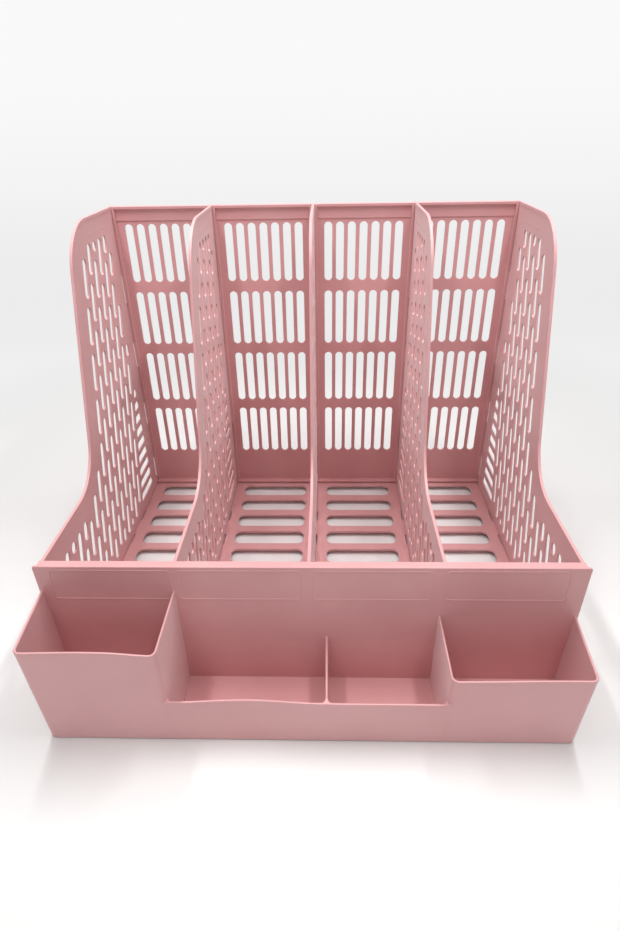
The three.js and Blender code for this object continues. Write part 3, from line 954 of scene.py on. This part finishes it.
# %% The back panel's sizes
BACK_FOOT = 7.4
BACK_RIM_WIDTH = 2.4
SILL_DEPTH = 6
BAND_HEIGHT = 13
BAND_RISE = 0.8
GRID_ROWS = 4
GRID_COLUMNS = 7
GRID_SLOT_WIDTH = 7.5
GRID_SLOT_HEIGHT = 54
GRID_PITCH_X = 11.15
GRID_PITCH_Z = 64.1
GRID_TOP = 16
TAB_REACH = 0.7
OVERLAP = 0.5  # how far joined solids reach into each other
section_half = (wall_middles[1] - wall_middles[0] - WALL) / 2
panel_half = section_half - FIT
section_middles = [(a + b) / 2 for a, b in zip(wall_middles, wall_middles[1:])]
plate_back = rack_back - BACK_INSET
plate_front = plate_back - PLATE
print("panels", round(2 * panel_half, 1), "mm wide, in", len(section_middles), "sections")

# %% The back panels


def numbered(kind):
    """The names of the panels of a kind, from left to right."""
    return [f"{kind}_{i + 1}" for i in range(len(section_middles))]


def grid_slots():
    slots = []
    for row in range(GRID_ROWS):
        v = rack_height - GRID_TOP - row * GRID_PITCH_Z - GRID_SLOT_HEIGHT / 2
        for column in range(GRID_COLUMNS):
            u = (column - (GRID_COLUMNS - 1) / 2) * GRID_PITCH_X
            slots.append(hole(u, v, GRID_SLOT_WIDTH / 2, GRID_SLOT_HEIGHT / 2, GRID_SLOT_WIDTH / 2))
    return slots


def make_back_panel():
    """A back panel about x = 0."""
    outer = rectangle(-panel_half, BACK_FOOT, panel_half, rack_height)
    inner_half = panel_half - BACK_RIM_WIDTH
    inner = rectangle(-inner_half, BACK_FOOT + BACK_RIM_WIDTH, inner_half, rack_height - BACK_RIM_WIDTH)
    panel = slotted_plate("back panel", [outer], grid_slots(), -plate_back, -plate_front, STANDING_ACROSS)
    rim = slotted_plate("rim", [outer, inner], [], -plate_front - OVERLAP, -rim_front, STANDING_ACROSS)
    sill_low = (-panel_half, plate_front - SILL_DEPTH, BACK_FOOT)
    sill = block("sill", sill_low, (panel_half, rim_front + OVERLAP, BACK_FOOT + BACK_RIM_WIDTH))
    band_half = inner_half + OVERLAP
    band_low = (-band_half, plate_front - BAND_RISE, rack_height - BAND_HEIGHT)
    band_high = (band_half, plate_front + OVERLAP, rack_height - BACK_RIM_WIDTH + OVERLAP)
    band = block("band", band_low, band_high)
    tabs = []
    for v in back_tab_middles:
        for side in (-1, 1):
            ends = sorted((side * (section_half + TAB_REACH), side * (panel_half - OVERLAP)))
            low = (ends[0], rim_front, v - BACK_TAB_HEIGHT / 2)
            high = (ends[1], rim_front + BACK_TAB_DEPTH, v + BACK_TAB_HEIGHT / 2)
            tabs.append(block("tab", low, high))
    return softened(cleaned(combined(panel, [rim, sill, band] + tabs)))


set_down_row(make_back_panel(), numbered("back_panel"), section_middles)

# %% [markdown]
# ## Base panels
# The files stand on a plate with wide openings across it, so that its slats are what shows from above.
# Its side edges have a shallow notch round each tab, which lets the tab bend when it snaps in.

# %% The base panels
BASE_SLOT_DEPTH = 20
BASE_SLOT_PITCH = 29.4
BASE_SLOT_BACK_MARGIN = 15.2
BASE_SLOT_FRONT_MARGIN = 6
BASE_SLOT_SIDE_MARGIN = 10.8
BASE_SLOT_RADIUS = 6.5
RELIEF_LENGTH = 57
RELIEF_DEPTH = 1.1


def base_side(side):
    """One side edge of a base panel, from front to back, with its notches and tabs."""
    edge = side * panel_half
    points = []
    for along in BASE_TAB_MIDDLES:
        v = rack_front + along
        notch = side * (panel_half - RELIEF_DEPTH)
        tab = side * (section_half + TAB_REACH)
        for u, dv in ((edge, -RELIEF_LENGTH), (notch, -RELIEF_LENGTH), (notch, -BASE_TAB_LENGTH),
                      (tab, -BASE_TAB_LENGTH), (tab, BASE_TAB_LENGTH), (notch, BASE_TAB_LENGTH),
                      (notch, RELIEF_LENGTH), (edge, RELIEF_LENGTH)):
            points.append(Vector((u, v + dv / 2)))
    return points


def make_base_panel():
    """A base panel about x = 0."""
    front = front_rim_back + FIT
    right = [Vector((panel_half, front))] + base_side(1) + [Vector((panel_half, plate_back))]
    left = [Vector((-panel_half, front))] + base_side(-1) + [Vector((-panel_half, plate_back))]
    openings = []
    half_width = panel_half - BASE_SLOT_SIDE_MARGIN
    half_depth = BASE_SLOT_DEPTH / 2
    far = rack_back - BASE_SLOT_BACK_MARGIN
    while far - BASE_SLOT_DEPTH >= front + BASE_SLOT_FRONT_MARGIN:
        openings.append(hole(0, far - half_depth, half_width, half_depth, BASE_SLOT_RADIUS))
        far -= BASE_SLOT_PITCH
    panel = slotted_plate("base panel", [right + left[::-1]], openings, BASE_TOP - BASE_PLATE, BASE_TOP,
                          circle_points=2 * SLOT_END_POINTS)
    return softened(cleaned(panel))


set_down_row(make_base_panel(), numbered("base_panel"), section_middles)

# %% [markdown]
# ## Front panels
# The low fronts of the sections stand behind the pen box, as high as the walls' low edges. Each is a
# plain plate with a rib along both sides, and two tabs on each rib. The ribs end below the pen box's
# hook.

# %% The front panels
FRONT_RIB_WIDTH = 2.2
FRONT_RIB_INSET = 0.5
FRONT_TAB_SETBACK = 0.6
HOOK_GAP = 0.4
HOOK_REACH = 14


def make_front_panel():
    """A front panel about x = 0."""
    plate_rear = rack_front + PLATE
    panel = block("front panel", (-panel_half, rack_front, BACK_FOOT), (panel_half, plate_rear, LOW_HEIGHT))
    rib_out = panel_half - FRONT_RIB_INSET
    rib_in = rib_out - FRONT_RIB_WIDTH
    rib_foot = BACK_FOOT + FRONT_RIB_INSET
    rib_top = LOW_HEIGHT + HOOK_GAP - HOOK_REACH - 2 * FIT
    tab_back = front_rim_back - FRONT_TAB_SETBACK
    pieces = []
    for side in (-1, 1):
        near, far = sorted((side * rib_in, side * rib_out))
        pieces.append(block("rib", (near, plate_rear - OVERLAP, rib_foot), (far, front_rim_back, rib_top)))
        near, far = sorted((side * (rib_out - OVERLAP), side * (section_half + TAB_REACH)))
        for v in FRONT_TAB_MIDDLES:
            low = (near, tab_back - PLATE, v - FRONT_TAB_HEIGHT / 2)
            pieces.append(block("tab", low, (far, tab_back, v + FRONT_TAB_HEIGHT / 2)))
    return softened(cleaned(combined(panel, pieces)))


set_down_row(make_front_panel(), numbered("front_panel"), section_middles)

# %% [markdown]
# ## The pen box
# The pen box is one moulding: a tall pen pocket at the left, two trays, a lower pocket at the right,
# and a back plate that hooks over the rack's front. Its faces lean a little so that it leaves the
# mould, so each stretch of the body is a loft between a plan at its foot and a plan at its rim. The
# hollows are lofts too, and are cut out of it.

# %% The pen box's sizes
BOX_PLATE = 1.8
BOX_PLATE_GAP = 0.5
PLATE_OVERHANG = 2.95
BOX_INSET = 1.5
HOOK_DEPTH = 6.8
HOOK_WALL = 1.6
HOOK_END = 3
BOX_WALL = 1.6
BOX_FLOOR = 1.6
BOX_DEPTH = 58
BOX_DEPTH_DRAFT = 4.5
BOX_TAPER = 5.2
BOX_END_DRAFT = 1.8
BOX_CORNER = 5
TALL_HEIGHT = 91.5
SHORT_HEIGHT = 68.5
TRAY_HEIGHT = 42.3
TALL_WIDTH = 96.9
SHORT_WIDTH = 99.5
PEN_TRAY_WIDTH = 107.2
CREST_RISE = 4.8
CUT_MARGIN = 5
box_y = rack_front - BOX_PLATE_GAP - BOX_PLATE  # the back plate's front face
plate_half = wall_middles[-1] + WALL / 2 + PLATE_OVERHANG
box_half = plate_half - BOX_INSET
box_top = LOW_HEIGHT + HOOK_GAP + HOOK_WALL
taper = BOX_TAPER / BOX_DEPTH
tray_left = -box_half + TALL_WIDTH
tray_right = box_half - SHORT_WIDTH
tray_divider = tray_left + PEN_TRAY_WIDTH + BOX_WALL / 2
print("pen box: tray ends and divider at x =",
      [round(x, 1) for x in (tray_left, tray_divider, tray_right)])

# %% The pen box's plans
BOX_CORNER_STEPS = 8


def front_at(z):
    return box_y - BOX_DEPTH + BOX_DEPTH_DRAFT * (1 - z / TALL_HEIGHT)


def end_at(z, y):
    return box_half - BOX_END_DRAFT * max(0, 1 - z / TALL_HEIGHT) + taper * (y - box_y)


def box_plan(z, left, right, inset, back):
    """The plan of a stretch of the box at a height. A side that is None is the box's own end."""
    front = front_at(z) + inset
    end_inset = inset / math.cos(math.atan(taper))
    corners = []
    for side, limit in ((-1, left), (1, right)):
        at_back = side * (end_at(z, back) - end_inset) if limit is None else limit
        at_front = side * (end_at(z, front) - end_inset) if limit is None else limit
        corners.append((at_back, at_front))
    outline = rounded([
        (corners[0][0], back, 0),
        (corners[0][1], front, BOX_CORNER - inset),
        (corners[1][1], front, BOX_CORNER - inset),
        (corners[1][0], back, 0),
    ], BOX_CORNER_STEPS)
    return [Vector((x, y, z)) for x, y in outline]


def box_stretch(name, z0, z1, left, right, inset, back):
    return loft(name, [box_plan(z, left, right, inset, back) for z in (z0, z1)])


print("plan of the box:", len(box_plan(0, None, None, 0, box_y)), "points")

# %% The pen box's body
PANEL_LINES = ((-183, -97), (-92.5, -5), (2.5, 87.5), (95.5, 181))
PANEL_LINE_FOOT = 83.6
PANEL_LINE_TOP = 110.5
PANEL_LINE_RADIUS = 3
PANEL_LINE_WIDTH = 0.8
PANEL_LINE_HEIGHT = 0.3


def box_body():
    inside_plate = box_y + BOX_PLATE / 2
    body = box_stretch("pen box", 0, TRAY_HEIGHT, None, None, 0, inside_plate)
    tall = box_stretch("tall pocket", TRAY_HEIGHT, TALL_HEIGHT, None, tray_left, 0, inside_plate)
    low = box_stretch("low pocket", TRAY_HEIGHT, SHORT_HEIGHT, tray_right, None, 0, inside_plate)
    combined(body, [tall, low])
    limits = [
        (None, tray_left - BOX_WALL),
        (tray_left, tray_divider - BOX_WALL / 2),
        (tray_divider + BOX_WALL / 2, tray_right),
        (tray_right + BOX_WALL, None),
    ]
    top = TALL_HEIGHT + CUT_MARGIN
    hollows = [box_stretch("hollow", BOX_FLOOR, top, *sides, BOX_WALL, box_y) for sides in limits]
    return combined(body, hollows, "DIFFERENCE")


def box_back():
    """The back plate with its hook, and the raised lines on its front."""
    foot_half = plate_half - BOX_END_DRAFT
    outline = rounded([
        (-foot_half, 0, 0),
        (foot_half, 0, 0),
        (plate_half, box_top, BOX_PLATE),
        (-plate_half, box_top, BOX_PLATE),
    ])
    pieces = [prism("back plate", outline, -box_y - BOX_PLATE, -box_y, STANDING_ACROSS)]
    hook_half = plate_half - HOOK_END
    hook_foot = box_top - HOOK_WALL
    back = box_y + HOOK_DEPTH
    pieces.append(block("hook", (-hook_half, box_y + BOX_PLATE / 2, hook_foot), (hook_half, back, box_top)))
    for middle in section_middles:
        leg = section_half - HOOK_END
        low = (middle - leg, back - HOOK_WALL, hook_foot - HOOK_REACH)
        pieces.append(block("hook leg", low, (middle + leg, back, box_top)))
    width = PANEL_LINE_WIDTH
    for left, right in PANEL_LINES:
        outer = rectangle(left, PANEL_LINE_FOOT, right, PANEL_LINE_TOP, PANEL_LINE_RADIUS)
        inner = rectangle(left + width, PANEL_LINE_FOOT + width, right - width, PANEL_LINE_TOP - width,
                          PANEL_LINE_RADIUS - width)
        pieces.append(slotted_plate("raised line", [outer, inner], [], -box_y - OVERLAP,
                                    -box_y + PANEL_LINE_HEIGHT, STANDING_ACROSS))
    return pieces


pen_box = cleaned(combined(box_body(), box_back()))
print("pen box before rounding:", len(pen_box.data.polygons), "faces")

# %% The pen box's rounded edges
RIM_ROUND = 0.65
FOOT_ROUND = 1.2
FLOOR_ROUND = 2.0
LINE_ROUND = 0.12
END_ROUND = 0.4  # where the ends meet the back plate, close to the plate's own edge
BOX_ROUND_STEPS = 3
RIM_START = 1  # where the trays' rounded rim begins, beside the pockets' round corners
TOUCHING = 0.01  # what is this close to a place lies on it
PAST = 0.1  # a limit this far past a place takes in what lies on it
FACING = 0.9  # the least cosine between a face's normal and the way that it faces
LINE_ZONE = {"half": -PANEL_LINES[0][0] + 3, "foot": PANEL_LINE_FOOT - 1, "top": PANEL_LINE_TOP + 0.5}
END_ZONE = {"from": box_half - 2 * BOX_WALL, "to": box_half + 0.3, "top": TALL_HEIGHT + 1}


def behind_front():
    """A place just behind the front wall and the round along its foot."""
    return front_at(0) + BOX_WALL + FLOOR_ROUND + PAST


def front_faces(draft):
    """The faces of the box's front wall, inside and outside."""
    return [face for face in draft.faces if all(v.co.y < behind_front() for v in face.verts)]


def cut_across(draft, faces, place, across):
    """Gives the faces new edges where a plane meets them, but not those that lie in the plane."""
    faces = [face for face in faces if abs(face.normal.dot(Vector(across))) < FACING]
    edges = {edge for face in faces for edge in face.edges}
    vertices = {vertex for face in faces for vertex in face.verts}
    geometry = list(vertices) + list(edges) + faces
    bmesh.ops.bisect_plane(draft, geom=geometry, dist=WELD_MM, plane_co=place, plane_no=across)


def edge_round(middle):
    """How far an edge of the pen box is rounded, by where it lies."""
    x, y, z = middle
    before_plate = y < box_y - TOUCHING
    if z < BOX_FLOOR / 2 and before_plate:
        return FOOT_ROUND
    if z < BOX_FLOOR + PAST and before_plate:
        return FLOOR_ROUND
    beside_tray = not tray_left + RIM_START < x < tray_right - RIM_START
    in_front = y < front_at(TRAY_HEIGHT) + BOX_CORNER + PAST
    if beside_tray and in_front and abs(z - TRAY_HEIGHT) < TOUCHING:
        return 0
    on_plate = box_y - 2 * PANEL_LINE_HEIGHT < y < box_y + TOUCHING
    if on_plate and LINE_ZONE["foot"] < z < LINE_ZONE["top"] and abs(x) < LINE_ZONE["half"]:
        return LINE_ROUND
    at_end = END_ZONE["from"] < abs(x) < END_ZONE["to"]
    if at_end and z < END_ZONE["top"] and abs(y - box_y) < TOUCHING:
        return END_ROUND
    return RIM_ROUND


draft = bmesh.new()
draft.from_mesh(pen_box.data)
for x in (tray_left + RIM_START, tray_right - RIM_START):
    cut_across(draft, front_faces(draft), (x, 0, 0), (1, 0, 0))
weights = draft.edges.layers.float.new("bevel_weight_edge")
for edge in draft.edges:
    if len(edge.link_faces) == 2 and edge.calc_face_angle() > SHARP_EDGE:
        middle = (edge.verts[0].co + edge.verts[1].co) / 2
        edge[weights] = edge_round(middle) / FLOOR_ROUND
draft.to_mesh(pen_box.data)
draft.free()
bevelled(pen_box, FLOOR_ROUND, BOX_ROUND_STEPS)
print("pen box with rounded edges:", len(pen_box.data.polygons), "faces")

# %% [markdown]
# Thin walls don't cool straight. The front of the long tray has sagged inwards between its ends, and
# the tall pocket's front a little. The pockets' rims droop towards the trays. Where a wall stands
# behind the front, the thicker plastic has drawn in a faint upright sink mark. All of these are shifts
# of the finished skin, so the front is first cut into narrow strips. The inner wall's crest, which
# climbs to the back plate, is a shift of that wall's rounded edge.

# %% Sagging, sink marks and the crest
SAGS = (
    {"from": -box_half, "to": tray_left, "top": TALL_HEIGHT, "depth": 1.0},
    {"from": tray_left, "to": tray_divider, "top": TRAY_HEIGHT, "depth": 2.4},
)
STRIP = 6
SINK_DEPTH = 0.12
SINK_WIDTH = 1.6
SINK_CUTS = 4  # to each side of a mark, half its width apart
TALL_DROOP = {"height": TALL_HEIGHT, "from": -128, "to": tray_left, "drop": 1.7}
LOW_DROOP = {"height": SHORT_HEIGHT, "from": 172, "to": tray_right, "drop": 1.6}
DROOP_END = 1.1  # as a share of the way, a little past the pocket's wall
RIM_ZONE = 1.5
RIM_DEPTH = 1
RIM_CUT_LEAD = 0.5  # the rims are cut this far before the place behind the front
sink_marks = (tray_left - BOX_WALL / 2, tray_divider, tray_right + BOX_WALL / 2)


def smooth_step(share):
    share = min(max(share, 0), 1)
    return share * share * (3 - 2 * share)


def sag(x, z):
    """How far the front wall has moved inwards."""
    total = 0
    for span in SAGS:
        if span["from"] < x < span["to"]:
            along = (x - span["from"]) / (span["to"] - span["from"])
            total += span["depth"] * math.sin(math.pi * along) ** 2 * min(z / span["top"], 1)
    return total


def sink(x):
    return SINK_DEPTH * sum(math.exp(-((x - mark) / SINK_WIDTH) ** 2) for mark in sink_marks)


def droop(x, y, z, pocket):
    """How far a pocket's rim has dropped, most at the front and near the tray."""
    if abs(z - pocket["height"]) > RIM_ZONE:
        return 0
    share = (x - pocket["from"]) / (pocket["to"] - pocket["from"])
    if not 0 < share < DROOP_END:
        return 0
    return pocket["drop"] * smooth_step(share) * (box_y - y) / (box_y - front_at(z))


draft = bmesh.new()
draft.from_mesh(pen_box.data)
rim_tops = [
    face for face in draft.faces
    if face.normal.z > FACING and face.calc_center_median().z > TRAY_HEIGHT - RIM_DEPTH
]
cut_across(draft, rim_tops, (0, behind_front() - RIM_CUT_LEAD, 0), (0, 1, 0))
cut_across(draft, front_faces(draft), (0, 0, TRAY_HEIGHT), (0, 0, 1))
strip_span = LOW_DROOP["from"] + box_half
strips = math.ceil(strip_span / STRIP)
stations = [-box_half + strip_span * i / strips for i in range(1, strips + 1)]
for mark in sink_marks:
    stations += [mark + k * SINK_WIDTH / 2 for k in range(-SINK_CUTS, SINK_CUTS + 1)]
for x in stations:
    cut_across(draft, front_faces(draft), (x, 0, 0), (1, 0, 0))
in_front = {vertex for face in front_faces(draft) for vertex in face.verts}
crest_front = front_at(TRAY_HEIGHT) + BOX_WALL
crest_half = BOX_WALL / 2 + RIM_ROUND + PAST
for vertex in draft.verts:
    x, y, z = vertex.co
    if vertex in in_front:
        vertex.co.y += sag(x, z)
        if y < front_at(z) + RIM_ROUND / 2 and z < TRAY_HEIGHT + TOUCHING:
            vertex.co.y += sink(x)
    if y < box_y:
        vertex.co.z -= droop(x, y, z, TALL_DROOP) + droop(x, y, z, LOW_DROOP)
    on_crest = abs(x - tray_divider) < crest_half and abs(z - TRAY_HEIGHT) < RIM_ZONE
    if on_crest and crest_front < y < box_y + PAST:
        vertex.co.z += CREST_RISE * (y - crest_front) / (box_y - crest_front)
draft.to_mesh(pen_box.data)
draft.free()
set_down(smooth_shaded(pen_box), "pen_box_moulding", "pen_box", ["pen_box"])
print("pen box:", len(pen_box.data.polygons), "faces,", len(in_front), "points in its front")
bpy.data.objects.remove(pen_box)
